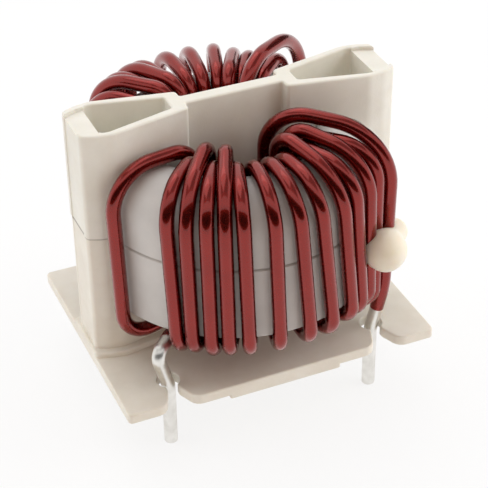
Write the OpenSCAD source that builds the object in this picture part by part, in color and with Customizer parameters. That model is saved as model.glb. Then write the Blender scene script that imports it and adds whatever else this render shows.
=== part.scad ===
// Common-mode choke on a through-hole header.
// Millimetres, +Z up. z = 0 is the board face the feet sit on, the origin is the centre of the pin pattern.
// +X runs along the divider, the two windings lie on the -Y and +Y sides.

/* [Header] */
// How far the base plate reaches past the divider ends
plate_end = 0.3; // [0.2:0.1:2]
// How far the base plate reaches past the pins across the divider
plate_edge = 3.9; // [3:0.1:6]
// Thickness of the base plate
plate_t = 1.2; // [0.8:0.1:2.5]
// Height of the two foot ridges under the plate
foot_h = 0.5; // [0.3:0.1:1.5]
// Length of each foot ridge
foot_x = 13; // [8:0.5:18]
// Width of each foot ridge
foot_y = 1.6; // [1:0.1:3]
// Ring diameter less the pin spacing along the divider
pin_in_x = 6.6; // [5:0.1:8]
// Ring diameter less the pin spacing across the divider
pin_in_y = 10.6; // [9:0.1:12]
// Pin length below the board face
pin_below = 6.7; // [3:0.1:9]
// Clearance of the round wire seat in the plate
seat_clear = 0.45; // [0.45:0.05:0.6]
// Width of the slot throat behind the wire seat
throat_w = 1.3; // [1.1:0.1:1.6]
// Length of the throat before the slot opens out
throat_run = 0.4; // [0.2:0.1:0.8]
// Width of the slot mouth at the plate edge
mouth_w = 3.2; // [2.4:0.1:4]

/* [Divider] */
// Height of the divider top over the case
divider_over = 4.6; // [4:0.1:8]
// How far the divider ends reach past the ring
divider_end = 2.3; // [1.8:0.1:3]
// Thickness of the centre wall
centre_t = 1.6; // [1.2:0.1:2]
// How far inside the bore the wedges start
wedge_in = 3.3; // [2.8:0.1:4.5]
// Half width of a wedge where it starts
wedge_y0 = 1.9; // [1.6:0.1:2.2]
// How far inside the ring's outside a wedge is widest
wedge_back = 1; // [0.5:0.1:2]
// Length of the slow taper past the widest place
wedge_tail = 1.8; // [1:0.1:2.5]
// Loss of half width over that taper
wedge_drop = 0.25; // [0.1:0.05:0.5]
// Half width of a wedge at its widest
wedge_y1 = 3.7; // [3:0.1:3.9]
// Half width of a wedge at its end
wedge_y2 = 2.8; // [2.2:0.1:3.2]
// Wall thickness round the open pocket of a wedge
pocket_wall = 1.05; // [0.9:0.05:1.5]
// Length of the corner taper at the end of a pocket
pocket_chamfer = 0.8; // [0.4:0.1:1.2]
// How far past the start of a wedge its pocket starts
pocket_in = 2.2; // [1.5:0.1:3]
// Inset of the lower posts under the upper divider
post_inset = 0.24; // [0:0.02:0.3]
// Height of the plinth at the foot of the posts
plinth_h = 0.6; // [0.3:0.1:1.2]
// Margin of the plinth round the posts
plinth_out = 0.7; // [0.3:0.1:1]
// Radius of the register pegs between posts and divider
peg_r = 0.6; // [0.4:0.05:0.7]
// Height of the register pegs
peg_h = 1.5; // [1:0.1:2.5]
// Clearance between separate plastic parts
fit = 0.1; // [0.05:0.01:0.2]

/* [Ring] */
// Outside diameter of the ring case
case_od = 30.8; // [29.6:0.1:30.8]
// Radial width of the ring case
ring_w = 6.6; // [5.8:0.1:6.8]
// Height of the ring case
case_h = 16.6; // [15:0.1:18]
// Height of the joint between the case halves over the case bottom
joint_up = 8.7; // [6:0.1:10]
// Height of the case bottom over the plate
case_lift = 6.3; // [5.8:0.1:7.5]
// Wall thickness of the case
case_wall = 1; // [0.8:0.1:1.4]
// Rounding of the upper outer edge of the case
crown_r = 4.4; // [3.8:0.1:4.6]
// Rounding of the upper bore edge of the case
bore_r = 1.8; // [1.7:0.1:2.2]
// Rounding of the lower edges of the case
base_r = 0.5; // [0.4:0.1:0.8]
// Overlap of the two case halves
lap_h = 1.5; // [1:0.1:2.5]
// Gap between core and case
core_gap = 0.2; // [0.1:0.05:0.4]

/* [Windings] */
// Diameter of the enamelled wire and of the pins
wire_d = 1.5; // [1.3:0.05:1.5]
// Gap between wire and case on top, in the bore and outside
wire_gap = 0.1; // [0.08:0.01:0.2]
// Gap between wire and the underside of the case
under_gap = 0.6; // [0.5:0.05:0.8]
// Step of the second layer of wire in the bore
layer_step = 1.3; // [1.3:0.05:1.5]
// Centreline radius of the bends under the ring
under_bend = 1.9; // [1.7:0.1:2]
// Stand-off of the last turn that becomes a pin
lead_out = 1.05; // [1:0.05:1.3]
// Depth of the last turn inside the bore
lead_depth = 4.2; // [3.8:0.1:4.4]
// How far the crown of the rear winding stands off
rear_loose = 1.15; // [0:0.05:1.2]
// Height at which a pin starts to lean outwards
kink_z = 1; // [0.9:0.1:1.5]
// Lean of the pin at the start of a winding
start_lean = 24; // [20:1:28]
// Radius of the adhesive bead on the last turn
bead_r = 2.4; // [2.2:0.1:2.6]
// Height of the bead over the case bottom
bead_up = 5.95; // [5:0.05:7]

/* [Hidden] */
$fn = 48;
eps = 0.01;
sides = 8;
arc_n = 4;
plate_z = foot_h + plate_t;
case_z0 = plate_z + case_lift;
case_z1 = case_z0 + case_h;
mid_z = case_z0 + joint_up;
top_z = case_z1 + divider_over;
ro = case_od / 2;
ri = ro - ring_w;
wr = wire_d / 2;
pitch_x = case_od - pin_in_x;
pitch_y = case_od - pin_in_y;
pin_x = pitch_x / 2;
pin_y = pitch_y / 2;
divider_half = ro + divider_end;
peg_x = (ro + divider_half) / 2;
wedge_start = ri - wedge_in;
wedge_wide = ro - wedge_back;
plate_x = 2 * (divider_half + plate_end);
plate_y = pitch_y + 2 * plate_edge;
crown_bend = crown_r + wr + wire_gap / 2;
bore_bend = bore_r + wr + wire_gap / 2;
pin_rad = norm([pin_x, pin_y]);
pin_ang = atan2(pin_y, pin_x);
leg_out = ro + wr + wire_gap;
leg_in = ri - wr - wire_gap;
z_over = case_z1 + wr + wire_gap;
z_under = case_z0 - wr - under_gap;
seat_r = wr + seat_clear;

// Lay of one winding: where each turn comes down on the outside, in degrees from +X
front_at = [-161, -137.5, -130, -122.5, -116, -109.5, -98.5, -89.5, -81, -71, -64, -54, -46.5];
// How far each outer leg leans towards the right pin on its way down
front_lean = [3, 3, 1.5, 1, 1, 2, 2.5, 6, 8, 8.5, 8, 4, 2];
// The same for the other winding, which is the mirror image with its own spacing
rear_at = [-161, -136, -129.5, -122.5, -116, -109.5, -96, -85.5, -74.5, -65.5, -58.7, -52.6, -46];
rear_lean = [3, 1.6, 1, 0.5, 0.5, 1, 1, 2, 3, 2.5, 2.3, 2, 1];
// Share of the stand-off that each crown of that winding takes, the lead last
rear_slack = [0, 0.4, 1, 1, 1, 1, 1, 1, 1, 0.4, 0.3, 0.3, 0.3, 1.7];
// The first turn stands a little off, dips to meet its pin and bends wider; the last one sags
first_off = 0.25;
first_dip = 3.2;
first_sag = 1.1;
first_wide = 0.8;
first_bend = 3;
last_sag = 0.9;
under_room = 2;
// The lead turn lies deep in the bore, arches over the other turns and comes down to its pin
lead_bore_at = -48;
lead_dip = 2.8;
lead_rise = 2.5;
lead_over = 0.9;
lead_arch = 5;
lead_wide = 1;
lead_back = 0.3;
lead_drop = 0.9;
lead_room = 1.5;
// Level run of the wire from the start pin, its bend, and the bend of a pin over the board
start_run = 1.2;
start_room = 0.9;
start_rise = 0.3;
butt = 0.1;
kink_room = 0.8;
knee_room = 1.8;
// Which layer each turn takes in the bore
bore_layer = [1, 0, 1, 0, 1, 0, 0, 0, 0, 1, 0, 1, 0];
// Angle of the first leg in the bore
bore_first = -149;
turns = len(front_at);

// Legs side by side in the bore keep a full wire pitch, legs in different layers nest closer
tight = 2 * asin((wire_d + 0.05) / 2 / leg_in);
nest = 0.68 * tight;
function bore_pitch(k) = bore_layer[k] == bore_layer[k - 1] ? tight : nest;
function bore_at(k) = k == 0 ? bore_first : bore_at(k - 1) + bore_pitch(k);

function unit(v) = v / norm(v);
function polar(r, a, z) = [r * cos(a), r * sin(a), z];

// Drops that run together into a bead on the last outer legs: stand-off, angle, rise and share of its radius
bead_drops = [[0.55, -49.8, 0, 1], [0.2, -44, -0.6, 0.73], [0.42, -36.6, -0.25, 0.63]];

// The pin at the start lies in one upright plane with the first leg in the bore
start_in = polar(leg_in - layer_step, bore_first, 0);
start_dir = unit([-pin_x, -pin_y, 0] - start_in);
start_z = z_under + start_rise;
start_low = [-pin_x, -pin_y, kink_z];
start_knee = [-pin_x, -pin_y, start_z] + (start_z - kink_z) * tan(start_lean) * start_dir;
start_end = [-pin_x, -pin_y, start_z] - butt * start_dir;

// The pin at the finish leans out from the board to the last outer leg
lead_r = leg_out + lead_out;
lead_low = [pin_x, -pin_y, kink_z];
lead_high = polar(lead_r - lead_back, -pin_ang, case_z0 - lead_drop);
lead_mid = (lead_low + lead_high) / 2;

// A winding is named by the lay of its turns, their lean and how far each crown stands off
front_lay = [front_at, front_lean, 0 * rear_slack];
rear_lay = [rear_at, rear_lean, rear_loose * rear_slack];

// Corner points of a turn with the room each corner is rounded in
function depth(k) = layer_step * bore_layer[k];
function rise(k) = k == 0 ? 0 : 1.12 * depth(k);
function dip(k) = k == 0 ? first_dip : 1.15 * depth(k);
function sag(k) = k == 0 ? first_sag : k == turns - 1 ? last_sag : 0;
function off(k) = k == 0 ? first_off : 0;
function crown_room(k) = k == 0 ? crown_bend + first_wide : crown_bend;
function turn_corners(k, lay) = let (
    bore_leg = leg_in - depth(k),
    slack = lay[2][k],
    crown_leg = leg_out + off(k) + slack,
    low_leg = leg_out + off(k),
    low_at = lay[0][k] + lay[1][k]
) [
    [polar(bore_leg, bore_at(k), z_under - dip(k)), under_room],
    [polar(bore_leg, bore_at(k), z_over + rise(k) + slack / 2), bore_bend],
    [polar(crown_leg, lay[0][k], z_over + off(k) + slack), crown_room(k)],
    [polar(low_leg, low_at, z_under - sag(k)), k == 0 ? first_bend : under_bend]
];
function lead_corners(lay) = let (slack = lay[2][turns]) [
    [polar(leg_in - lead_depth, lead_bore_at, z_under - lead_dip), under_room],
    [polar(leg_in - lead_depth, lead_bore_at, z_over + lead_rise + slack), lead_arch],
    [polar(lead_r, -pin_ang, z_over + lead_over + slack), crown_bend + lead_wide],
    [lead_high, lead_room]
];
function corners(lay) = concat(
    [[start_end, 0], [start_end - start_run * start_dir, start_room]],
    [for (k = [0:turns - 1]) each turn_corners(k, lay)],
    lead_corners(lay),
    [[lead_mid, 0]]
);

// A rounded corner is a circular arc written as a weighted curve
function reach(a, b, c, l) = min(l, 0.49 * norm(a - b), 0.49 * norm(c - b));
function arc_point(p, b, q, w, t) =
    (pow(1 - t, 2) * p + 2 * w * t * (1 - t) * b + t * t * q) / (pow(1 - t, 2) + 2 * w * t * (1 - t) + t * t);
function arc(a, b, c, l) = let (
    u = unit(a - b),
    v = unit(c - b),
    h = reach(a, b, c, l),
    w = sqrt((1 - u * v) / 2)
) [for (i = [0:arc_n]) arc_point(b + h * u, b, b + h * v, w, i / arc_n)];
function path_of(c) = concat(
    [c[0][0]],
    [for (i = [1:len(c) - 2]) each arc(c[i - 1][0], c[i][0], c[i + 1][0], c[i][1])],
    [c[len(c) - 1][0]]
);

// Direction of the wire at each point and the ring of corners round it
function toward(p, i) = unit(p[i + 1] - p[i]);
function heading(p, i) =
    i == 0 ? toward(p, 0) : i == len(p) - 1 ? toward(p, i - 1) : unit(toward(p, i) + toward(p, i - 1));
function side_of(q, t) = let (e = unit([-q[1], q[0], 0])) unit(e - (e * t) * t);
function ring_of(p, i) = let (
    t = heading(p, i),
    n = side_of(p[i], t),
    m = cross(t, n)
) [for (s = [0:sides - 1]) p[i] + wr * (cos(s * 360 / sides) * n + sin(s * 360 / sides) * m)];

// A swept wire along a path
module tube(p) {
    last = len(p) - 1;
    pts = [for (i = [0:last]) each ring_of(p, i)];
    skin = [for (i = [0:last - 1]) for (s = [0:sides - 1]) let (
        a = i * sides + s,
        b = i * sides + (s + 1) % sides
    ) each [[a, a + sides, b], [b, a + sides, b + sides]]];
    caps = [[for (s = [0:sides - 1]) s], [for (s = [sides - 1:-1:0]) last * sides + s]];
    polyhedron(points = pts, faces = concat(skin, caps), convexity = 10);
}

// A quarter of the divider outline, from the centre wall to the end of a wedge
function quarter(o) = [
    [wedge_start - o, centre_t / 2 + o],
    [wedge_start - o, wedge_y0 + o],
    [wedge_wide, wedge_y1 + o],
    [wedge_wide + wedge_tail, wedge_y1 - wedge_drop + o],
    [min(divider_half + o, plate_x / 2), wedge_y2 + o]
];
function turned(p, x, y) = [for (q = p) [x * q[0], y * q[1]]];
function back(p) = [for (i = [len(p) - 1:-1:0]) p[i]];

module divider_plan(o) {
    q = quarter(o);
    polygon(concat(q, back(turned(q, 1, -1)), turned(q, -1, -1), back(turned(q, -1, 1))));
}

// The open pocket inside a wedge
module pocket_plan() {
    y0 = wedge_y0 - pocket_wall;
    x0 = wedge_start + pocket_in;
    x1 = ro;
    y1 = wedge_y1 - pocket_wall;
    x2 = ro - pocket_chamfer;
    y2 = y1 - pocket_chamfer / 8;
    polygon([[x0, y0], [x2, y1], [x1, y2], [x1, -y2], [x2, -y1], [x0, -y0]]);
}

// Room for the cased ring inside header and divider
module ring_room() {
    rotate_extrude() ring_section(-fit);
}

// Keyhole slot for one wire in the plate, opening towards +Y
module slot_plan() {
    run = plate_y / 2 - pin_y;
    circle(r = seat_r);
    translate([-throat_w / 2, 0]) square([throat_w, run]);
    polygon([
        [-throat_w / 2, seat_r + throat_run],
        [-mouth_w / 2, run + eps],
        [mouth_w / 2, run + eps],
        [throat_w / 2, seat_r + throat_run]
    ]);
}

module plate_plan() {
    difference() {
        square([plate_x, plate_y], center = true);
        for (x = [-pin_x, pin_x]) translate([x, pin_y]) slot_plan();
        for (x = [-pin_x, pin_x]) translate([x, -pin_y]) mirror([0, 1]) slot_plan();
    }
}

module base_header() {
    color("#e9e3d6") {
        difference() {
            union() {
                translate([0, 0, foot_h]) linear_extrude(plate_t) plate_plan();
                translate([0, 0, plate_z - eps]) linear_extrude(plinth_h + eps) divider_plan(plinth_out);
                translate([0, 0, plate_z - eps])
                    linear_extrude(mid_z - plate_z + eps) divider_plan(-post_inset);
            }
            ring_room();
        }
        for (y = [foot_y - plate_y, plate_y - foot_y]) translate([-foot_x / 2, y / 2 - foot_y / 2, 0])
            cube([foot_x, foot_y, foot_h + eps]);
        for (x = [-peg_x, peg_x]) translate([x, 0, mid_z - eps]) cylinder(r = peg_r, h = peg_h + eps);
    }
}

module upper_divider() {
    z0 = mid_z + fit / 2;
    color("#efe9dc") difference() {
        translate([0, 0, z0]) linear_extrude(top_z - z0) divider_plan(0);
        ring_room();
        for (m = [0, 1]) mirror([m, 0, 0]) translate([0, 0, case_z1])
            linear_extrude(divider_over + eps) pocket_plan();
        for (x = [-peg_x, peg_x]) translate([x, 0, mid_z]) cylinder(r = peg_r + fit, h = peg_h + 2 * fit);
    }
}

// Section of the ring at an inset from the case surface, rounded at the crown
module ring_section(g) {
    a = ri + g;
    b = ro - g;
    z1 = case_z1 - g;
    co = crown_r - g;
    ci = max(bore_r - g, 0.3);
    cb = max(base_r - g, 0.2);
    difference() {
        translate([a, case_z0 + g]) square([b - a, case_h - 2 * g]);
        translate([b - co, z1 - co]) difference() {
            square(co + 1);
            circle(r = co);
        }
        translate([a + ci, z1 - ci]) difference() {
            translate([-ci - 1, 0]) square(ci + 1);
            circle(r = ci);
        }
        translate([b - cb, case_z0 + g + cb]) difference() {
            translate([0, -cb - 1]) square(cb + 1);
            circle(r = cb);
        }
        translate([a + cb, case_z0 + g + cb]) difference() {
            translate([-cb - 1, -cb - 1]) square(cb + 1);
            circle(r = cb);
        }
    }
}

module case_shell() {
    difference() {
        ring_section(0);
        ring_section(case_wall);
    }
}

// The lip of the lower half stands inside the rebate of the upper half
module lap_band(t, h) {
    translate([ri + case_wall - t, mid_z - eps]) square([ro - ri - 2 * case_wall + 2 * t, h + eps]);
}

module case_lower() {
    color("#d9d9d6") rotate_extrude() intersection() {
        case_shell();
        union() {
            translate([0, case_z0 - 1]) square([ro + 1, mid_z - case_z0 + 1]);
            lap_band(case_wall / 2 - fit / 2, lap_h);
        }
    }
}

module case_upper() {
    color("#dededb") rotate_extrude() difference() {
        case_shell();
        translate([0, case_z0 - 1]) square([ro + 1, mid_z - case_z0 + 1 + fit / 2]);
        lap_band(case_wall / 2, lap_h + fit);
    }
}

module ferrite_core() {
    color("#3a3a3c") rotate_extrude() ring_section(case_wall + core_gap);
}

module front_winding() {
    color("#8e2f2b") tube(path_of(corners(front_lay)));
}

module rear_winding() {
    color("#8e2f2b") mirror([0, 1, 0]) tube(path_of(corners(rear_lay)));
}

// A straight bar between two points
module bar(a, b, dia) {
    v = b - a;
    translate(a) rotate([0, acos(v[2] / norm(v)), atan2(v[1], v[0])]) cylinder(d = dia, h = norm(v));
}

// A bent wire: straight bars with a ball a little larger than the wire at each corner
module bent_wire(p) {
    for (i = [0:len(p) - 2]) bar(p[i], p[i + 1], wire_d);
    for (i = [1:len(p) - 2]) translate(p[i]) sphere(d = wire_d + 0.03);
}

module start_pin() {
    bent_wire(path_of([
        [[-pin_x, -pin_y, -pin_below], 0],
        [start_low, kink_room],
        [start_knee, knee_room],
        [start_end, 0]
    ]));
}

module finish_pin() {
    bent_wire(path_of([
        [[pin_x, -pin_y, -pin_below], 0],
        [lead_low, kink_room],
        [lead_mid, 0]
    ]));
}

module front_left_pin() {
    color("#c9c9c6") start_pin();
}

module front_right_pin() {
    color("#c9c9c6") finish_pin();
}

module rear_left_pin() {
    color("#c9c9c6") mirror([0, 1, 0]) start_pin();
}

module rear_right_pin() {
    color("#c9c9c6") mirror([0, 1, 0]) finish_pin();
}

// Drop of adhesive that ties the last turn to its neighbours
module one_bead(lay) {
    room = wire_d + fit / 2;
    difference() {
        for (d = bead_drops)
            translate(polar(lead_r + d[0], d[1], case_z0 + bead_up + d[2])) sphere(r = bead_r * d[3]);
        bar(lead_corners(lay)[2][0], lead_high, room);
        for (k = [turns - 3:turns - 1])
            bar(turn_corners(k, lay)[2][0], turn_corners(k, lay)[3][0], room);
        translate([0, 0, case_z0]) cylinder(r = ro + fit / 2, h = case_h);
    }
}

module front_bead() {
    color("#e6dcc2") one_bead(front_lay);
}

module rear_bead() {
    color("#e6dcc2") mirror([0, 1, 0]) one_bead(rear_lay);
}

base_header();
upper_divider();
case_lower();
case_upper();
ferrite_core();
front_winding();
rear_winding();
front_left_pin();
front_right_pin();
rear_left_pin();
rear_right_pin();
front_bead();
rear_bead();
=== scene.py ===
"""Common-mode choke: two red enamelled windings on a cased ring, clamped by an ivory divider on a header.

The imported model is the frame. Sizes are in millimetres, as in the part's source, and meshes in metres.
"""
import math

import bmesh
import bpy
from mathutils import Matrix, Vector


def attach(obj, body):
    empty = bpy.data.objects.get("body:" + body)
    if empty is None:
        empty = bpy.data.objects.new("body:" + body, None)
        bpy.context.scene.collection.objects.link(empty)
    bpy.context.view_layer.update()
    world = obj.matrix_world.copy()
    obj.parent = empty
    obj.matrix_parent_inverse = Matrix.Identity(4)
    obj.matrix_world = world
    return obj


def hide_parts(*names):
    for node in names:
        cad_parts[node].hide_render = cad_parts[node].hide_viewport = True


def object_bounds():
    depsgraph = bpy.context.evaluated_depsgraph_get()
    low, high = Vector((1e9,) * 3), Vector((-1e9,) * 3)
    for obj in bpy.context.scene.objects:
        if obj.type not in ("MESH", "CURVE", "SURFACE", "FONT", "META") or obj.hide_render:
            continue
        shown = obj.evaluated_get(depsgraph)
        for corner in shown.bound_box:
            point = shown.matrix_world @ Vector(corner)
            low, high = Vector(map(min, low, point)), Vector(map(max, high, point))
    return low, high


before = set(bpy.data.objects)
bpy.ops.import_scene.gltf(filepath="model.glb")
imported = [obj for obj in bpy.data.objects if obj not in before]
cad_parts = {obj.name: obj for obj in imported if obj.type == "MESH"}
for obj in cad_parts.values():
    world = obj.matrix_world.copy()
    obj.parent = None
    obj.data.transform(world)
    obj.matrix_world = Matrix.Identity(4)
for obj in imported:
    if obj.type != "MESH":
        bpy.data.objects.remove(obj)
cad_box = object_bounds()

MM = 0.001

# Header and divider
PLATE_X, PLATE_Y = 18.0, 14.0
PLATE_LOW, PLATE_TOP, PLINTH_TOP = 0.5, 1.7, 2.3
FOOT_X, FOOT_Y = 6.5, 1.6
SEAT_R, THROAT_W, THROAT_END, MOUTH_W = 1.2, 0.65, 1.6, 1.6
SEAM_Z, DIVIDER_TOP = 16.7, 29.2
WEDGE_START, WEDGE_WIDE, WEDGE_TAIL, DIVIDER_HALF = 5.5, 14.4, 16.2, 17.7
CENTRE_HALF, WEDGE_Y0, WEDGE_Y1, TAIL_Y, WEDGE_Y2 = 0.8, 1.9, 3.7, 3.45, 2.8
POST_INSET, POST_BACK, PLINTH_OUT, FIT = 0.24, 0.08, 0.7, 0.1
POCKET_WALL, POCKET_IN, POCKET_CHAMFER = 0.75, 1.6, 0.8
PEG_X, PEG_R, PEG_H = 16.55, 0.6, 1.5
PIN_X, PIN_Y, PIN_TIP = 12.1, 10.1, -6.7

# End walls of the wedges: lower than the side walls over a stretch of x and half widths, and set back
END_STEP, STEP_HALF = 0.45, ((14.9, 2.78), (WEDGE_TAIL, 2.66), (18.6, 1.62))
END_RECESS, RECESS_HALF, RECESS_LOW = 0.12, 1.95, PLINTH_TOP + 0.2

# Rounded edges of the mouldings, and the length that each rounded corner of their outlines takes
PLATE_UNDER_EDGE, PLATE_EDGE, PLATE_CORNER, MOUTH_CORNER, THROAT_CORNER = 0.12, 0.2, 0.5, 0.9, 0.15
FOOT_EDGE, FOOT_CORNER, PLINTH_EDGE, POST_EDGE, PEG_EDGE = 0.1, 0.2, 0.25, 0.12, 0.1
SEAM_EDGE, RIM_EDGE, WEDGE_CORNER, START_CORNER, CENTRE_CORNER = 0.15, 0.26, 0.4, 0.42, 0.25
POCKET_EDGE, POCKET_CORNER, STEP_EDGE, STEP_CORNER, RECESS_CORNER = 0.22, 0.3, 0.12, 0.1, 0.12

# Joined mouldings reach into each other, and cuts past each other, so that no two faces lie in one plane
PLINTH_SINK, POST_SINK, FOOT_SINK, PEG_SINK, HOLE_SINK = 0.63, 0.31, 0.3, 0.3, 0.5
EDGE_SHY, CUT_PAST = 0.02, 1.0

# Ring case
CASE_OUT, CASE_BORE, CASE_WALL = 15.4, 8.8, 1.0
CASE_BOTTOM, CASE_TOP, CASE_JOINT = 8.0, 24.6, SEAM_Z
CROWN_ROUND, BORE_ROUND, BASE_ROUND = 4.4, 1.8, 0.5
GROOVE, INNER_SLOPE = 0.18, 2.0

# Wire, with the skin of lacquer or tin on it
WIRE_D = 1.5
WIRE_R = WIRE_D / 2
WIRE_GAP, UNDER_GAP, SIDE_GAP = 0.1, 0.6, 0.05
LACQUER, TIN, TIN_LUMPS, TIN_LUMP_SIZE = 0.04, 0.01, 0.05, 520.0
LAYER_STEP, LAYER_NEST, LAYER_LIFT, LAYER_DIP = 1.3, 0.68, 1.12, 1.15
CROWN_BEND = CROWN_ROUND + WIRE_R + WIRE_GAP / 2
BORE_BEND = BORE_ROUND + WIRE_R + WIRE_GAP / 2
UNDER_BEND, UNDER_ROOM, MOST_BEND = 1.9, 2.0, 0.49
REAR_LOOSE = 1.15

# Lay of the turns: outer legs and their lean on the way down, in degrees from +X, each rear crown's share
# of the loose stand-off, and the layer taken in the bore
FRONT_AT = (-161, -137.5, -130, -122.5, -116, -109.5, -98.5, -89.5, -81, -71, -64, -54, -46.5)
FRONT_LEAN = (3, 3, 1.5, 1, 1, 2, 2.5, 6, 8, 8.5, 8, 4, 2)
REAR_AT = (-161, -136, -129.5, -122.5, -116, -109.5, -96, -85.5, -74.5, -65.5, -58.7, -52.6, -46)
REAR_LEAN = (3, 1.6, 1, 0.5, 0.5, 1, 1, 2, 3, 2.5, 2.3, 2, 1)
REAR_SLACK = (0, 0.4, 1, 1, 1, 1, 1, 1, 1, 0.4, 0.3, 0.3, 0.3, 1.7)
BORE_LAYER = (1, 0, 1, 0, 1, 0, 0, 0, 0, 1, 0, 1, 0)
BORE_FIRST = -149.0
TURNS = len(FRONT_AT)

# The first turn stands off and dips to its pin, the last one sags
FIRST_OFF, FIRST_DIP, FIRST_SAG, FIRST_WIDE, FIRST_BEND = 0.25, 3.2, 1.1, 0.8, 3.0
LAST_SAG = 0.9

# The lead turn lies deep in the bore, arches over the others and comes down to its pin
LEAD_OUT, LEAD_DEPTH, LEAD_BORE_AT = 1.05, 4.2, -48
LEAD_DIP, LEAD_RISE, LEAD_OVER, LEAD_ARCH = 2.8, 2.5, 0.9, 5.0
LEAD_WIDE, LEAD_BACK, LEAD_DROP, LEAD_ROOM = 1.0, 0.3, 0.9, 1.5

# Bends of the pins
KINK_Z, KINK_ROOM, KNEE_ROOM = 1.0, 0.8, 1.8
START_LEAN, START_RUN, START_ROOM, START_RISE, BUTT = 24.0, 1.2, 0.9, 0.3, 0.1

# Bead of adhesive on the last legs: drops with their stand-off from the lead, angle, height and radius,
# how far they run together and how much the skin swells
BEAD_DROPS = ((0.55, -49.8, 13.95, 2.4), (0.2, -44.0, 13.35, 1.75), (0.42, -36.6, 13.7, 1.5))
BEAD_BLEND, BEAD_SWELL = 1.1, 0.06

# View of the photograph: degrees, millimetres, and the focal length for its sensor
VIEW_AZIMUTH, VIEW_ELEVATION, VIEW_ROLL = -23.217, 34.806, -0.735
VIEW_DISTANCE, VIEW_LENS, VIEW_SENSOR = 177.96, 117.77, 36.0
VIEW_TARGET = Vector((1.21, 0.0, 9.08))

LEG_OUT = CASE_OUT + WIRE_R + WIRE_GAP
LEG_IN = CASE_BORE - WIRE_R - WIRE_GAP
LEG_PITCH = 2 * math.degrees(math.asin((WIRE_D + SIDE_GAP) / 2 / LEG_IN))
Z_OVER = CASE_TOP + WIRE_R + WIRE_GAP
Z_UNDER = CASE_BOTTOM - WIRE_R - UNDER_GAP
PIN_ANGLE = math.degrees(math.atan2(PIN_Y, PIN_X))
LEAD_R = LEG_OUT + LEAD_OUT


# Routes of the wire

def polar(r, degrees, z):
    a = math.radians(degrees)
    return Vector((r * math.cos(a), r * math.sin(a), z))


def bore_angles():
    """Angle of each leg in the bore: a full wire pitch in one layer, closer where layers change."""
    angles = [BORE_FIRST]
    for here, before in zip(BORE_LAYER[1:], BORE_LAYER):
        angles.append(angles[-1] + LEG_PITCH * (1 if here == before else LAYER_NEST))
    return angles


START_Z = Z_UNDER + START_RISE
START_FOOT = Vector((-PIN_X, -PIN_Y, 0))
START_DIR = (START_FOOT - polar(LEG_IN - LAYER_STEP, BORE_FIRST, 0)).normalized()
START_LOW = START_FOOT + Vector((0, 0, KINK_Z))
START_HIGH = START_FOOT + Vector((0, 0, START_Z))
START_KNEE = START_HIGH + (START_Z - KINK_Z) * math.tan(math.radians(START_LEAN)) * START_DIR
START_END = START_HIGH - BUTT * START_DIR
LEAD_LOW = Vector((PIN_X, -PIN_Y, KINK_Z))
LEAD_HIGH = polar(LEAD_R - LEAD_BACK, -PIN_ANGLE, CASE_BOTTOM - LEAD_DROP)
LEAD_MID = (LEAD_LOW + LEAD_HIGH) / 2


def winding_corners(outer_at, lean, loose):
    """Corners of one winding, each with the room of its bend; loose is the stand-off of each crown."""
    corners = [(START_END, 0), (START_END - START_RUN * START_DIR, START_ROOM)]
    for k, bore in enumerate(bore_angles()):
        first, last = k == 0, k == TURNS - 1
        depth = LAYER_STEP * BORE_LAYER[k]
        bore_leg = LEG_IN - depth
        off = FIRST_OFF if first else 0
        slack = loose[k]
        rise = 0 if first else LAYER_LIFT * depth
        dip = FIRST_DIP if first else LAYER_DIP * depth
        sag = FIRST_SAG if first else LAST_SAG if last else 0
        crown = CROWN_BEND + (FIRST_WIDE if first else 0)
        under = FIRST_BEND if first else UNDER_BEND
        corners += [
            (polar(bore_leg, bore, Z_UNDER - dip), UNDER_ROOM),
            (polar(bore_leg, bore, Z_OVER + rise + slack / 2), BORE_BEND),
            (polar(LEG_OUT + off + slack, outer_at[k], Z_OVER + off + slack), crown),
            (polar(LEG_OUT + off, outer_at[k] + lean[k], Z_UNDER - sag), under),
        ]
    corners += [
        (polar(LEG_IN - LEAD_DEPTH, LEAD_BORE_AT, Z_UNDER - LEAD_DIP), UNDER_ROOM),
        (polar(LEG_IN - LEAD_DEPTH, LEAD_BORE_AT, Z_OVER + LEAD_RISE + loose[-1]), LEAD_ARCH),
        (polar(LEAD_R, -PIN_ANGLE, Z_OVER + LEAD_OVER + loose[-1]), CROWN_BEND + LEAD_WIDE),
        (LEAD_HIGH, LEAD_ROOM),
        (LEAD_MID, 0),
    ]
    return corners


def bend(a, b, c, room, steps):
    """Points of the arc that rounds the corner b between a and c and takes that room on each side."""
    u, v = (a - b).normalized(), (c - b).normalized()
    weight = math.sqrt(max(0.0, (1 - u.dot(v)) / 2))
    p, q = b + room * u, b + room * v
    points = []
    for i in range(steps + 1):
        t = i / steps
        wa, wb, wc = (1 - t) ** 2, 2 * weight * t * (1 - t), t * t
        points.append((wa * p + wb * b + wc * q) / (wa + wb + wc))
    return points


def rounded_route(corners, steps=14, stride=0.8):
    """Points along the corners: each bend an arc, and the straights cut into short strides."""
    knots = [corners[0][0]]
    for (a, _), (b, room), (c, _) in zip(corners, corners[1:], corners[2:]):
        room = min(room, MOST_BEND * (a - b).length, MOST_BEND * (c - b).length)
        knots += bend(a, b, c, room, steps)
    knots.append(corners[-1][0])
    points = [knots[0]]
    for a, b in zip(knots, knots[1:]):
        length = (b - a).length
        if length > 1e-6:
            cuts = max(1, round(length / stride))
            points += [a.lerp(b, (i + 1) / cuts) for i in range(cuts)]
    return points


def mirrored(points):
    return [Vector((p.x, -p.y, p.z)) for p in points]


# Materials

def linear(hex_colour):
    """Linear colour of an sRGB hex code."""
    values = [int(hex_colour[i:i + 2], 16) / 255 for i in (0, 2, 4)]
    return tuple(v / 12.92 if v <= 0.04045 else ((v + 0.055) / 1.055) ** 2.4 for v in values) + (1.0,)


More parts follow.
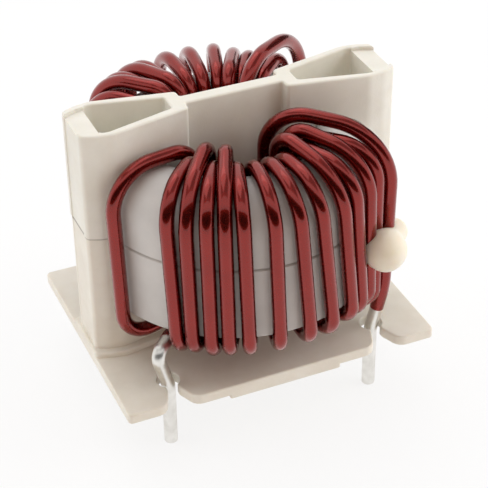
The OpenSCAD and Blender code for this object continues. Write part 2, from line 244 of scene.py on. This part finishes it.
class Tree:
    """Short calls to add and fill the nodes of a tree."""

    def __init__(self, tree):
        self.tree = tree

    def fill(self, node, values):
        """Inputs by name or number: an output socket is linked, anything else is set."""
        for key, value in values.items():
            if hasattr(value, "is_linked"):
                self.tree.links.new(value, node.inputs[key])
            else:
                node.inputs[key].default_value = value

    def add(self, kind, values=None, **settings):
        node = self.tree.nodes.new(kind)
        for key, value in settings.items():
            setattr(node, key, value)
        self.fill(node, values or {})
        return node

    def maths(self, operation, *terms):
        return self.add("ShaderNodeMath", dict(enumerate(terms)), operation=operation).outputs[0]

    def tone(self, mask, first, second):
        """A colour between two, by a mask."""
        return self.add("ShaderNodeMix", {0: mask, 6: first, 7: second}, data_type="RGBA").outputs[2]

    def noise(self, size, detail, roughness=0.5):
        """Clouds on the piece's own coordinates."""
        spot = self.add("ShaderNodeTexCoord").outputs["Object"]
        return self.add("ShaderNodeTexNoise", {
            "Vector": spot, "Scale": size, "Detail": detail, "Roughness": roughness}).outputs["Fac"]

    def ranged(self, value, start, end, to_start, to_end, **settings):
        return self.add("ShaderNodeMapRange", {
            "Value": value, "From Min": start, "From Max": end, "To Min": to_start, "To Max": to_end},
            **settings).outputs["Result"]

    def relief(self, height, strength, depth):
        return self.add("ShaderNodeBump", {
            "Strength": strength, "Distance": depth * MM, "Height": height}).outputs["Normal"]


def group_socket(tree, name, kind, way="INPUT", default=None):
    socket = tree.interface.new_socket(name, in_out=way, socket_type=kind)
    if default is not None:
        socket.default_value = default


def moulded_skin_group():
    """Moulded plastic: soft mottling of the tone and a fine spark-eroded grain."""
    tree = bpy.data.node_groups.new("moulded_skin", "ShaderNodeTree")
    group_socket(tree, "Light", "NodeSocketColor", default=(0.8, 0.8, 0.8, 1))
    group_socket(tree, "Dark", "NodeSocketColor", default=(0.6, 0.6, 0.6, 1))
    group_socket(tree, "Mottle size", "NodeSocketFloat", default=300.0)
    group_socket(tree, "Grain size", "NodeSocketFloat", default=6000.0)
    group_socket(tree, "Colour", "NodeSocketColor", "OUTPUT")
    group_socket(tree, "Roughness", "NodeSocketFloat", "OUTPUT")
    group_socket(tree, "Height", "NodeSocketFloat", "OUTPUT")
    t = Tree(tree)
    given = t.add("NodeGroupInput").outputs
    mottle = t.noise(given["Mottle size"], 4.0, 0.6)
    t.add("NodeGroupOutput", {
        "Colour": t.tone(t.ranged(mottle, 0.3, 0.7, 0.0, 1.0), given["Dark"], given["Light"]),
        "Roughness": t.ranged(mottle, 0.3, 0.7, 0.5, 0.4),
        "Height": t.noise(given["Grain size"], 2.0)})
    return tree


def new_material(name):
    material = bpy.data.materials.new(name)
    material.use_nodes = True
    material.node_tree.nodes.clear()
    return material, Tree(material.node_tree)


def finished(t, values):
    """The shader of a finish, with its inputs, as the material's surface."""
    shader = t.add("ShaderNodeBsdfPrincipled", values)
    t.add("ShaderNodeOutputMaterial", {"Surface": shader.outputs["BSDF"]})


MOULDED_SKIN = moulded_skin_group()
# Painted shade: a dark brown line along the joint between header and divider and between the case halves,
# standing in for the shadow in the seam; its height, its fully dark reach and its fade in millimetres
JOINT_Z, JOINT_DARK, JOINT_FADE, JOINT_SHADE_TONE = SEAM_Z + 0.02, 0.06, 0.2, "6a5c4e"


def plastic(name, light, dark, mottle, grain, bump, inner_glow, joint_shade):
    """A moulded plastic with its own tones and grain, a painted shade line at the joint and light under the
    skin.
    """
    material, t = new_material(name)
    skin = t.add("ShaderNodeGroup", {
        "Light": linear(light), "Dark": linear(dark), "Mottle size": mottle, "Grain size": grain},
        node_tree=MOULDED_SKIN).outputs
    spot = t.add("ShaderNodeTexCoord").outputs["Object"]
    height = t.add("ShaderNodeSeparateXYZ", {"Vector": spot}).outputs["Z"]
    # Painted shade at the joint: the colour darkens towards a brown tone close to the joint's height
    from_joint = t.maths("ABSOLUTE", t.maths("SUBTRACT", height, JOINT_Z * MM))
    shade = t.ranged(from_joint, JOINT_DARK * MM, JOINT_FADE * MM, joint_shade, 0.0)
    finished(t, {
        "Base Color": t.tone(shade, skin["Colour"], linear(JOINT_SHADE_TONE)),
        "Roughness": skin["Roughness"], "Normal": t.relief(skin["Height"], bump, 0.04), "IOR": 1.5,
        "Subsurface Weight": inner_glow, "Subsurface Radius": (1.0, 0.75, 0.5),
        "Subsurface Scale": 0.6 * MM})
    return material


def enamelled_copper():
    """Bright copper seen through red lacquer: a metal with a glossy clear coat and small flaws."""
    material, t = new_material("enamelled_wire")
    clouds, draw_lines = t.noise(420.0, 3.0), t.noise(2600.0, 2.0)
    finished(t, {
        "Base Color": t.tone(clouds, linear("7f180f"), linear("931f16")),
        "Roughness": t.ranged(draw_lines, 0.0, 1.0, 0.2, 0.32), "Normal": t.relief(clouds, 0.12, 0.03),
        "Metallic": 0.95, "Coat Weight": 0.8, "Coat Roughness": 0.05, "Coat IOR": 1.5})
    return material


def tinned_copper():
    """Solder-dipped wire: bright, a little uneven, duller in the hollows."""
    material, t = new_material("tinned_wire")
    runs = t.noise(900.0, 4.0)
    finished(t, {
        "Base Color": t.tone(runs, linear("d6d3cc"), linear("fcfaf6")),
        "Roughness": t.ranged(runs, 0.0, 1.0, 0.42, 0.28), "Normal": t.relief(runs, 0.3, 0.04),
        "Metallic": 1.0})
    return material


def cream_adhesive():
    """Set adhesive: cream, waxy, with light under its skin."""
    material, t = new_material("adhesive")
    clouds = t.noise(500.0, 3.0)
    finished(t, {
        "Base Color": t.tone(clouds, linear("e6dcc6"), linear("f5eee0")),
        "Roughness": 0.32, "Normal": t.relief(clouds, 0.25, 0.1),
        "Subsurface Weight": 0.35, "Subsurface Radius": (1.0, 0.75, 0.45), "Subsurface Scale": 0.8 * MM})
    return material


def pressed_ferrite():
    """Dull pressed powder, inside the case."""
    material, t = new_material("ferrite")
    finished(t, {
        "Base Color": t.tone(t.noise(3000.0, 4.0), linear("2c2c2e"), linear("48484a")), "Roughness": 0.6})
    return material


# The last number of each is the strength of the painted shade line at the joint
HEADER_IVORY = plastic("header_plastic", "ece8dd", "e3ddd0", 260.0, 5200.0, 0.25, 0.15, 0.6)
DIVIDER_IVORY = plastic("divider_plastic", "ebe9e0", "e2dfd4", 240.0, 5200.0, 0.25, 0.15, 0.6)
CASE_GREY = plastic("case_plastic", "d2d0cd", "c8c6c3", 220.0, 6400.0, 0.2, 0.08, 0.3)
ENAMEL = enamelled_copper()
TINNED = tinned_copper()
ADHESIVE = cream_adhesive()
FERRITE = pressed_ferrite()


# Objects and meshes, with the angles in degrees from which an edge is shaded sharp

WIRE_SHARP, MOULDING_SHARP, CASE_SHARP = 50, 32, 40


def new_object(name, data):
    holder = bpy.data.objects.new(name, data)
    bpy.context.scene.collection.objects.link(holder)
    return holder


def mesh_object(name, bm):
    mesh = bpy.data.meshes.new(name)
    bm.to_mesh(mesh)
    bm.free()
    return new_object(name, mesh)


def plain_mesh(holder, name):
    """The evaluated shape of an object as a plain mesh object; the object itself is removed."""
    bpy.context.view_layer.update()
    shape = holder.evaluated_get(bpy.context.evaluated_depsgraph_get())
    mesh = bpy.data.meshes.new_from_object(shape)
    mesh.name = name
    bpy.data.objects.remove(holder)
    return new_object(name, mesh)


def place(piece, slot, *nodes):
    """The piece stands for its CAD nodes and rides with the body."""
    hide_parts(*nodes)
    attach(piece, "root")


# Swept wire, as a node tree along a route

WIRE_SIDES, LUMP_LEVEL = 24, 0.75


def wire_sweep_tree():
    """Round wire along a curve, closed at its ends, with lumps on its skin."""
    tree = bpy.data.node_groups.new("wire_sweep", "GeometryNodeTree")
    group_socket(tree, "Route", "NodeSocketGeometry")
    group_socket(tree, "Wire radius", "NodeSocketFloat", default=WIRE_R * MM)
    group_socket(tree, "Sides", "NodeSocketInt", default=WIRE_SIDES)
    group_socket(tree, "Lumps", "NodeSocketFloat", default=0.0)
    group_socket(tree, "Lump size", "NodeSocketFloat", default=500.0)
    group_socket(tree, "Finish", "NodeSocketMaterial")
    group_socket(tree, "Wire", "NodeSocketGeometry", "OUTPUT")
    t = Tree(tree)
    given = t.add("NodeGroupInput").outputs
    ring = t.add("GeometryNodeCurvePrimitiveCircle", {
        "Resolution": given["Sides"], "Radius": given["Wire radius"]})
    sweep = t.add("GeometryNodeCurveToMesh", {
        "Curve": given["Route"], "Profile Curve": ring.outputs["Curve"], "Fill Caps": True})
    spot = t.add("GeometryNodeInputPosition").outputs["Position"]
    cloud = t.add("ShaderNodeTexNoise", {"Vector": spot, "Scale": given["Lump size"], "Detail": 2.0})
    height = t.maths("MULTIPLY", t.maths("SUBTRACT", cloud.outputs[0], LUMP_LEVEL), given["Lumps"])
    outward = t.add("GeometryNodeInputNormal").outputs["Normal"]
    push = t.add("ShaderNodeVectorMath", {0: outward, "Scale": height}, operation="SCALE")
    lumpy = t.add("GeometryNodeSetPosition", {
        "Geometry": sweep.outputs["Mesh"], "Offset": push.outputs["Vector"]})
    smooth = t.add("GeometryNodeSetShadeSmooth", {"Geometry": lumpy.outputs["Geometry"]})
    real = t.add("GeometryNodeRealizeInstances", {"Geometry": smooth.outputs["Geometry"]})
    finish = t.add("GeometryNodeSetMaterial", {
        "Geometry": real.outputs["Geometry"], "Material": given["Finish"]})
    t.add("NodeGroupOutput", {"Wire": finish.outputs["Geometry"]})
    return tree


WIRE_SWEEP = wire_sweep_tree()
SWEEP_INPUT = {
    item.name: item.identifier for item in WIRE_SWEEP.interface.items_tree if item.in_out == "INPUT"}


def swept_wire(name, points, radius, finish, lumps=0.0, lump_size=500.0):
    """A wire along the points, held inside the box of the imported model."""
    curve = bpy.data.curves.new(name + "_route", "CURVE")
    curve.dimensions = "3D"
    spline = curve.splines.new("POLY")
    spline.points.add(len(points) - 1)
    for knot, p in zip(spline.points, points):
        knot.co = (p.x * MM, p.y * MM, p.z * MM, 1.0)
    holder = new_object(name + "_route", curve)
    sweep = holder.modifiers.new("sweep", "NODES")
    sweep.node_group = WIRE_SWEEP
    sweep[SWEEP_INPUT["Wire radius"]] = radius * MM
    sweep[SWEEP_INPUT["Sides"]] = WIRE_SIDES
    sweep[SWEEP_INPUT["Lumps"]] = lumps * MM
    sweep[SWEEP_INPUT["Lump size"]] = lump_size
    sweep[SWEEP_INPUT["Finish"]] = finish
    piece = plain_mesh(holder, name)
    for v in piece.data.vertices:
        v.co = [min(max(c, low), high) for c, low, high in zip(v.co, *cad_box)]
    piece.data.set_sharp_from_angle(angle=math.radians(WIRE_SHARP))
    return piece


front_route = rounded_route(winding_corners(FRONT_AT, FRONT_LEAN, [0.0] * len(REAR_SLACK)))
rear_loose = [REAR_LOOSE * s for s in REAR_SLACK]
rear_route = mirrored(rounded_route(winding_corners(REAR_AT, REAR_LEAN, rear_loose)))
for side, route in (("front", front_route), ("rear", rear_route)):
    wire = swept_wire(side + "_winding_wire", route, WIRE_R + LACQUER, ENAMEL)
    place(wire, "enamelled_wire", side + "_winding")

start_tip, finish_tip = Vector((-PIN_X, -PIN_Y, PIN_TIP)), Vector((PIN_X, -PIN_Y, PIN_TIP))
start_pin = [(start_tip, 0), (START_LOW, KINK_ROOM), (START_KNEE, KNEE_ROOM), (START_END, 0)]
finish_pin = [(finish_tip, 0), (LEAD_LOW, KINK_ROOM), (LEAD_MID, 0)]
for side, flip in (("front", list), ("rear", mirrored)):
    for end, corners in (("left", start_pin), ("right", finish_pin)):
        route = flip(rounded_route(corners, stride=0.25))
        pin = swept_wire(side + "_" + end + "_lead", route, WIRE_R + TIN, TINNED, TIN_LUMPS, TIN_LUMP_SIZE)
        place(pin, "tinned_wire", side + "_" + end + "_pin")


# Outlines and turned or raised solids

def arc(centre, radius, start, end, steps=10):
    """Points of an arc from one angle to another, in degrees."""
    points = []
    for i in range(steps + 1):
        a = math.radians(start + (end - start) * i / steps)
        points.append((centre[0] + radius * math.cos(a), centre[1] + radius * math.sin(a)))
    return points


def turned(name, section, steps=192):
    """A closed ring turned round Z from a closed section of radii and heights."""
    bm = bmesh.new()
    rings = []
    for i in range(steps):
        a = 2 * math.pi * i / steps
        x, y = math.cos(a) * MM, math.sin(a) * MM
        rings.append([bm.verts.new((r * x, r * y, z * MM)) for r, z in section])
    count = len(section)
    for i in range(steps):
        here, following = rings[i], rings[(i + 1) % steps]
        for j in range(count):
            k = (j + 1) % count
            bm.faces.new((here[j], following[j], following[k], here[k]))
    bmesh.ops.recalc_face_normals(bm, faces=bm.faces)
    return mesh_object(name, bm)


def filleted(corners, steps=4):
    """An outline from corners that each carry the length their rounding takes; 0 stays sharp."""
    points = []
    for i, (x, y, room) in enumerate(corners):
        before, here = Vector(corners[i - 1][:2]), Vector((x, y))
        after = Vector(corners[(i + 1) % len(corners)][:2])
        points += bend(before, here, after, room, steps) if room else [here]
    return points


def inset(outline, distance):
    """A counter-clockwise outline moved inwards."""
    moved = []
    for i, p in enumerate(outline):
        before = (p - outline[i - 1]).normalized()
        after = (outline[(i + 1) % len(outline)] - p).normalized()
        n1, n2 = Vector((-before.y, before.x)), Vector((-after.y, after.x))
        moved.append(p + distance * (n1 + n2) / (1 + n1.dot(n2)))
    return moved


QUARTER_TURN = [math.radians(22.5 * i) for i in range(5)]


def soft_levels(low, high, low_round, high_round):
    """Insets and heights of a raised outline with rounded lower and upper edges."""
    lower = [(low_round * (1 - math.sin(a)), low + low_round * (1 - math.cos(a))) for a in QUARTER_TURN]
    upper = [(high_round * (1 - math.sin(a)), high - high_round * (1 - math.cos(a)))
             for a in reversed(QUARTER_TURN)]
    return (lower if low_round else [(0, low)]) + (upper if high_round else [(0, high)])


def open_levels(low, rim):
    """Levels of a cut from a height up through the divider's top, with its rim rounded outwards."""
    flare = [(-rim * (1 - math.sin(a)), DIVIDER_TOP - rim * (1 - math.cos(a)))
             for a in reversed(QUARTER_TURN)]
    return [(0, low)] + flare + [(-rim, DIVIDER_TOP + CUT_PAST)]


def raised(name, outline, levels):
    """A solid from a counter-clockwise outline that is inset as it rises through the levels."""
    bm = bmesh.new()
    loops = [[bm.verts.new((q.x * MM, q.y * MM, z * MM)) for q in inset(outline, d)] for d, z in levels]
    count = len(outline)
    for below, above in zip(loops, loops[1:]):
        for i in range(count):
            k = (i + 1) % count
            bm.faces.new((below[i], below[k], above[k], above[i]))
    bm.faces.new(loops[0][::-1])
    bm.faces.new(loops[-1])
    return mesh_object(name, bm)


def carved(name, body, added, removed, finish):
    """One solid from a body, what is joined to it and what is cut away, with even shading of its flats."""
    for others, way in ((added, "UNION"), (removed, "DIFFERENCE")):
        for other in others:
            step = body.modifiers.new(other.name, "BOOLEAN")
            step.object, step.operation, step.solver = other, way, "MANIFOLD"
    solid = plain_mesh(body, name + "_solid")
    for other in added + removed:
        bpy.data.objects.remove(other)
    solid.data.materials.clear()
    solid.data.materials.append(finish)
    solid.data.shade_smooth()
    solid.data.set_sharp_from_angle(angle=math.radians(MOULDING_SHARP))
    even = solid.modifiers.new("even_normals", "WEIGHTED_NORMAL")
    even.keep_sharp = True
    even.weight = 100
    return plain_mesh(solid, name)


# Header and divider: soft-edged solids, joined and cut as in the part's source

def four_ways(quarter):
    """A counter-clockwise outline from the corners of its +X +Y quarter, given from the X axis on."""
    def flipped(x, y):
        return [(x * px, y * py, room) for px, py, room in quarter]
    return flipped(1, 1) + flipped(-1, 1)[::-1] + flipped(-1, -1) + flipped(1, -1)[::-1]


def divider_outline(out, end):
    """The divider's outline with its sides moved out by a distance and its ends where they are given."""
    return filleted(four_ways([
        (end, WEDGE_Y2 + out, WEDGE_CORNER), (WEDGE_TAIL, TAIL_Y + out, WEDGE_CORNER),
        (WEDGE_WIDE, WEDGE_Y1 + out, WEDGE_CORNER), (WEDGE_START - out, WEDGE_Y0 + out, START_CORNER),
        (WEDGE_START - out, CENTRE_HALF + out, CENTRE_CORNER)]))


def plate_outline():
    """The plate's outline with its four keyhole slots."""
    gap = math.degrees(math.acos(THROAT_W / SEAT_R))
    seat = [(x, y, 0) for x, y in arc((PIN_X, PIN_Y), SEAT_R, gap, -180 - gap, 28)]
    throat_y = PIN_Y + THROAT_END
    return filleted(four_ways(
        [(PLATE_X, PLATE_Y, PLATE_CORNER), (PIN_X + MOUTH_W, PLATE_Y, MOUTH_CORNER),
         (PIN_X + THROAT_W, throat_y, THROAT_CORNER)]
        + seat
        + [(PIN_X - THROAT_W, throat_y, THROAT_CORNER), (PIN_X - MOUTH_W, PLATE_Y, MOUTH_CORNER)]))


def box_outline(x0, x1, y0, y1, room):
    return filleted([(x0, y0, room), (x1, y0, room), (x1, y1, room), (x0, y1, room)])


def disc_outline(x, y, r, steps=24):
    return [Vector(p) for p in arc((x, y), r, 0, 360 * (steps - 1) / steps, steps - 1)]


def ring_room(name):
    """The room of the cased ring, a fit clear of it."""
    low, high = CASE_BOTTOM - FIT, CASE_TOP + FIT
    near, far = CASE_BORE - FIT, CASE_OUT + FIT
    foot, crown, lip = BASE_ROUND + FIT, CROWN_ROUND + FIT, BORE_ROUND + FIT
    return turned(name, (
        arc((near + foot, low + foot), foot, 180, 270, 4)
        + arc((far - foot, low + foot), foot, 270, 360, 4)
        + arc((far - crown, high - crown), crown, 0, 90, 12)
        + arc((near + lip, high - lip), lip, 90, 180, 8)))


def end_outline(side, half, room):
    """An outline at one end of the divider from its +Y half, given from the middle outwards."""
    corners = [(x, -y) for x, y in half] + half[::-1]
    return filleted([(side * x, side * y, room) for x, y in corners])


def pocket(side):
    """The open pocket in a wedge, its rim rounded outwards."""
    x0, x1 = WEDGE_START + POCKET_IN, CASE_OUT
    y0, y1 = WEDGE_Y0 - POCKET_WALL, WEDGE_Y1 - POCKET_WALL
    half = [(x0, y0), (x1 - POCKET_CHAMFER, y1), (x1, y1 - POCKET_CHAMFER / 8)]
    return raised("pocket", end_outline(side, half, POCKET_CORNER), open_levels(CASE_TOP, POCKET_EDGE))


def end_step(side):
    """The end wall of a wedge stands a little lower than its side walls."""
    outline = end_outline(side, list(STEP_HALF), STEP_CORNER)
    return raised("step", outline, open_levels(DIVIDER_TOP - END_STEP, STEP_EDGE))


def end_recess(side, low, high):
    """The end wall also lies a little behind the ends of the side walls."""
    x0, x1 = sorted((side * (DIVIDER_HALF - END_RECESS), side * (DIVIDER_HALF + CUT_PAST)))
    outline = box_outline(x0, x1, -RECESS_HALF, RECESS_HALF, RECESS_CORNER)
    return raised("recess", outline, [(0, low), (0, high)])


def foot_ridge(side):
    y0, y1 = sorted((side * (PLATE_Y - EDGE_SHY), side * (PLATE_Y - FOOT_Y)))
    outline = box_outline(-FOOT_X, FOOT_X, y0, y1, FOOT_CORNER)
    return raised("foot", outline, soft_levels(0, PLATE_LOW + FOOT_SINK, FOOT_EDGE, 0))


def peg(side):
    outline = disc_outline(side * PEG_X, 0, PEG_R)
    return raised("peg", outline, soft_levels(SEAM_Z - PEG_SINK, SEAM_Z + PEG_H, 0, PEG_EDGE))


def peg_hole(side):
    outline = disc_outline(side * PEG_X, 0, PEG_R + FIT)
    return raised("peg_hole", outline, soft_levels(SEAM_Z - HOLE_SINK, SEAM_Z + PEG_H + 2 * FIT, 0, 0))


plate = raised("plate", plate_outline(), soft_levels(PLATE_LOW, PLATE_TOP, PLATE_UNDER_EDGE, PLATE_EDGE))
header_adds = [
    raised("plinth", divider_outline(PLINTH_OUT, PLATE_X - EDGE_SHY),
           soft_levels(PLATE_TOP - PLINTH_SINK, PLINTH_TOP, 0, PLINTH_EDGE)),
    raised("post", divider_outline(-POST_INSET, DIVIDER_HALF - POST_BACK),
           soft_levels(PLATE_TOP - POST_SINK, SEAM_Z, 0, POST_EDGE))]
header_cuts = [ring_room("header_room")]
block = raised("block", divider_outline(0, DIVIDER_HALF),
               soft_levels(SEAM_Z + FIT / 2, DIVIDER_TOP, SEAM_EDGE, RIM_EDGE))
divider_cuts = [ring_room("divider_room")]
for side in (-1, 1):
    header_adds += [foot_ridge(side), peg(side)]
    header_cuts.append(end_recess(side, RECESS_LOW, SEAM_Z + CUT_PAST))
    divider_cuts += [pocket(side), end_step(side)]
    divider_cuts += [end_recess(side, SEAM_Z - CUT_PAST, DIVIDER_TOP + CUT_PAST), peg_hole(side)]

header = carved("header_moulding", plate, header_adds, header_cuts, HEADER_IVORY)
place(header, "header_plastic", "base_header")
divider = carved("divider_moulding", block, [], divider_cuts, DIVIDER_IVORY)
place(divider, "divider_plastic", "upper_divider")


# Ring case: two turned shells with a fine groove where they meet

INNER_OUT, INNER_BORE = CASE_OUT - CASE_WALL, CASE_BORE + CASE_WALL
INNER_LOW, INNER_TOP = CASE_BOTTOM + CASE_WALL, CASE_TOP - CASE_WALL

lower_section = (
    arc((CASE_BORE + BASE_ROUND, CASE_BOTTOM + BASE_ROUND), BASE_ROUND, 180, 270, 5)
    + arc((CASE_OUT - BASE_ROUND, CASE_BOTTOM + BASE_ROUND), BASE_ROUND, 270, 360, 5)
    + [(CASE_OUT, CASE_JOINT - GROOVE), (CASE_OUT - GROOVE, CASE_JOINT), (INNER_OUT, CASE_JOINT),
       (INNER_OUT, INNER_LOW), (INNER_BORE, INNER_LOW),
       (INNER_BORE, CASE_JOINT), (CASE_BORE + GROOVE, CASE_JOINT), (CASE_BORE, CASE_JOINT - GROOVE)])
upper_section = (
    [(CASE_BORE, CASE_JOINT + GROOVE), (CASE_BORE + GROOVE, CASE_JOINT), (INNER_BORE, CASE_JOINT),
     (INNER_BORE, INNER_TOP), (INNER_OUT - INNER_SLOPE, INNER_TOP), (INNER_OUT, INNER_TOP - INNER_SLOPE),
     (INNER_OUT, CASE_JOINT), (CASE_OUT - GROOVE, CASE_JOINT), (CASE_OUT, CASE_JOINT + GROOVE)]
    + arc((CASE_OUT - CROWN_ROUND, CASE_TOP - CROWN_ROUND), CROWN_ROUND, 0, 90, 16)
    + arc((CASE_BORE + BORE_ROUND, CASE_TOP - BORE_ROUND), BORE_ROUND, 90, 180, 10))

for half, section in (("case_lower", lower_section), ("case_upper", upper_section)):
    shell = turned(half + "_shell", section)
    shell.data.shade_smooth()
    shell.data.set_sharp_from_angle(angle=math.radians(CASE_SHARP))
    shell.data.materials.append(CASE_GREY)
    place(shell, "case_plastic", half)

core_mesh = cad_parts["ferrite_core"].data
core_mesh.materials.clear()
core_mesh.materials.append(FERRITE)


# Beads of adhesive: balls that run together on the wires

DROPS = [(polar(LEAD_R + out, at, z), r) for out, at, z, r in BEAD_DROPS]
HEART = DROPS[1][0]
WALK_STEPS, WALK_SHARE, WALK_END = 60, 0.7, 1e-4


def bead_distance(p):
    """Distance from the skin of the blended drops, with slow swells so that no two sides are alike."""
    gap = math.inf
    for centre, radius in DROPS:
        away = (p - centre).length - radius + BEAD_SWELL
        merge = max(BEAD_BLEND - abs(gap - away), 0.0)
        gap = min(gap, away) - merge * merge / BEAD_BLEND / 4
    return gap + BEAD_SWELL * math.sin(1.7 * p.x + 0.6) * math.sin(1.3 * p.y + 1.1) * math.sin(1.5 * p.z)


def bead(name, flip):
    """A ball whose points walk out from the middle drop until they reach the skin."""
    bm = bmesh.new()
    bmesh.ops.create_icosphere(bm, subdivisions=5, radius=1.0)
    for v in bm.verts:
        ray = v.co.normalized()
        reach = 0.0
        for _ in range(WALK_STEPS):
            step = -bead_distance(HEART + reach * ray)
            reach += WALK_SHARE * step
            if abs(step) < WALK_END:
                break
        p = HEART + reach * ray
        v.co = Vector((p.x, p.y * flip, p.z)) * MM
    bmesh.ops.recalc_face_normals(bm, faces=bm.faces)
    piece = mesh_object(name, bm)
    piece.data.shade_smooth()
    piece.data.materials.append(ADHESIVE)
    return piece


place(bead("front_adhesive", 1), "adhesive", "front_bead")
place(bead("rear_adhesive", -1), "adhesive", "rear_bead")


# Floor, which is white to the camera and in reflections but for its share of shadow; stage sizes in metres

FLOOR_HALF, FLOOR_DROP, SHADOW_SHARE = 1.5, 0.00005, 0.2
WHITE = (1, 1, 1, 1)


def card(name, corners, finish):
    """A flat piece of the stage."""
    mesh = bpy.data.meshes.new(name)
    mesh.from_pydata(corners, [], [(0, 1, 2, 3)])
    mesh.materials.append(finish)
    holder = new_object(name, mesh)
    return holder


def seen_white(t):
    """Mask of the rays to which the background is white: to the camera, in reflections and through glass."""
    rays = t.add("ShaderNodeLightPath").outputs
    mirrored_rays = t.maths("MAXIMUM", rays["Is Glossy Ray"], rays["Is Transmission Ray"])
    return t.maths("MAXIMUM", rays["Is Camera Ray"], mirrored_rays)


def floor_paper():
    material, t = new_material("floor_paper")
    paper = t.add("ShaderNodeBsdfDiffuse", {"Color": (0.92, 0.92, 0.92, 1)})
    glow = t.add("ShaderNodeEmission", {"Color": WHITE, "Strength": 1.0})
    mixed = t.add("ShaderNodeMixShader", {
        0: t.maths("MULTIPLY", seen_white(t), 1 - SHADOW_SHARE), 1: paper.outputs[0], 2: glow.outputs[0]})
    t.add("ShaderNodeOutputMaterial", {"Surface": mixed.outputs[0]})
    return material


floor_z = PIN_TIP * MM - FLOOR_DROP
card("floor", [(x * FLOOR_HALF, y * FLOOR_HALF, floor_z) for x, y in ((-1, -1), (1, -1), (1, 1), (-1, 1))],
     floor_paper())


# Camera

def view_axes():
    """Right, up and back of the camera in the row frame."""
    az, el, roll = (math.radians(a) for a in (VIEW_AZIMUTH, VIEW_ELEVATION, VIEW_ROLL))
    back = Vector((math.sin(az) * math.cos(el), -math.cos(az) * math.cos(el), math.sin(el)))
    right = (-back).cross(Vector((0, 0, 1))).normalized()
    up = back.cross(right)
    return math.cos(roll) * right + math.sin(roll) * up, math.cos(roll) * up - math.sin(roll) * right, back


right, up, back = view_axes()
camera_data = bpy.data.cameras.new("photo_view")
camera_data.sensor_fit = "HORIZONTAL"
camera_data.sensor_width = VIEW_SENSOR
camera_data.lens = VIEW_LENS
camera_data.clip_start = 0.01
camera = new_object("photo_view", camera_data)
eye = (VIEW_TARGET + back * VIEW_DISTANCE) * MM
camera.matrix_world = Matrix.Translation(eye) @ Matrix((right, up, back)).transposed().to_4x4()
bpy.context.scene.camera = camera


# World: pale, white to the camera and in reflections, with its front a little dimmer and warmer

DIM_SIDE = Vector((-0.365, -0.852, 0.375)).normalized()
DIM_EDGE, DIM_CORE = 0.35, 0.85
ROOM_LEVEL, FRONT_FILL = 0.98, 0.52
FRONT_TINT = (1.0, 0.77, 0.63)


def studio_world():
    world = bpy.data.worlds.new("studio")
    world.use_nodes = True
    world.node_tree.nodes.clear()
    t = Tree(world.node_tree)
    direction = t.add("ShaderNodeTexCoord").outputs["Generated"]
    frontal = t.add("ShaderNodeVectorMath", {0: direction, 1: DIM_SIDE}, operation="DOT_PRODUCT")
    dim = t.ranged(frontal.outputs["Value"], DIM_EDGE, DIM_CORE, 0.0, 1.0, interpolation_type="SMOOTHSTEP")
    front = tuple(ROOM_LEVEL * FRONT_FILL * c for c in FRONT_TINT) + (1,)
    lit = t.tone(dim, (ROOM_LEVEL, ROOM_LEVEL, ROOM_LEVEL, 1), front)
    background = t.add("ShaderNodeBackground", {"Color": t.tone(seen_white(t), lit, WHITE), "Strength": 1.0})
    t.add("ShaderNodeOutputWorld", {"Surface": background.outputs[0]})
    return world


bpy.context.scene.world = studio_world()


# Flags and lamps, in metres

FRONT_SIDE = Vector((-0.394, -0.919, 0.0))
FRONT_ACROSS = Vector((0.919, -0.394, 0.0))
RIGHT_SIDE, RIGHT_ACROSS = Vector((0.4, 0.22, 0.0)), Vector((0, 1, 0))
LAMP_AIM = Vector((0, 0, 0.012))


def flag(name, corners, level):
    """A dark card that only shows in reflections, as a photographer's flag does."""
    material, t = new_material(name + "_card")
    shade = t.add("ShaderNodeEmission", {"Color": WHITE, "Strength": level})
    t.add("ShaderNodeOutputMaterial", {"Surface": shade.outputs[0]})
    holder = card(name, corners, material)
    for kind in ("camera", "diffuse", "shadow", "transmission"):
        setattr(holder, "visible_" + kind, False)


def wall_card(middle, across, half, low, high):
    """Corners of an upright card about a middle on the floor plan."""
    a, b = middle - half * across, middle + half * across
    rise_low, rise_high = Vector((0, 0, low)), Vector((0, 0, high))
    return [a + rise_low, b + rise_low, b + rise_high, a + rise_high]


def ceiling_card(front_edge, back_edge, half, height):
    """Corners of a level card over the object, from its front edge to its back edge."""
    lift, aside = Vector((0, 0, height)), half * FRONT_ACROSS
    a, b = front_edge * FRONT_SIDE + lift, back_edge * FRONT_SIDE + lift
    return [a - aside, a + aside, b + aside, b - aside]


def soft_box(name, spot, size, power, in_reflections):
    lamp = bpy.data.lights.new(name, "AREA")
    lamp.shape = "SQUARE"
    lamp.size = size
    lamp.energy = power
    holder = new_object(name, lamp)
    holder.location = spot
    holder.rotation_euler = (LAMP_AIM - Vector(spot)).to_track_quat("-Z", "Y").to_euler()
    holder.visible_glossy = in_reflections


flag("front_flag", wall_card(0.3 * FRONT_SIDE, FRONT_ACROSS, 0.8, 0.01, 0.27), 0.03)
flag("right_flag", wall_card(RIGHT_SIDE, RIGHT_ACROSS, 0.22, 0.04, 0.3), 0.06)
flag("top_flag", ceiling_card(0.23, -0.18, 0.5, 0.5), 0.35)
soft_box("overhead_box", (-0.05, 0.12, 0.42), 0.36, 0.35, True)
soft_box("right_box", (0.4, -0.12, 0.16), 0.3, 0.8, False)
soft_box("left_box", (-0.4, 0.2, 0.1), 0.3, 0.3, False)

bpy.context.scene.view_settings.view_transform = "Standard"
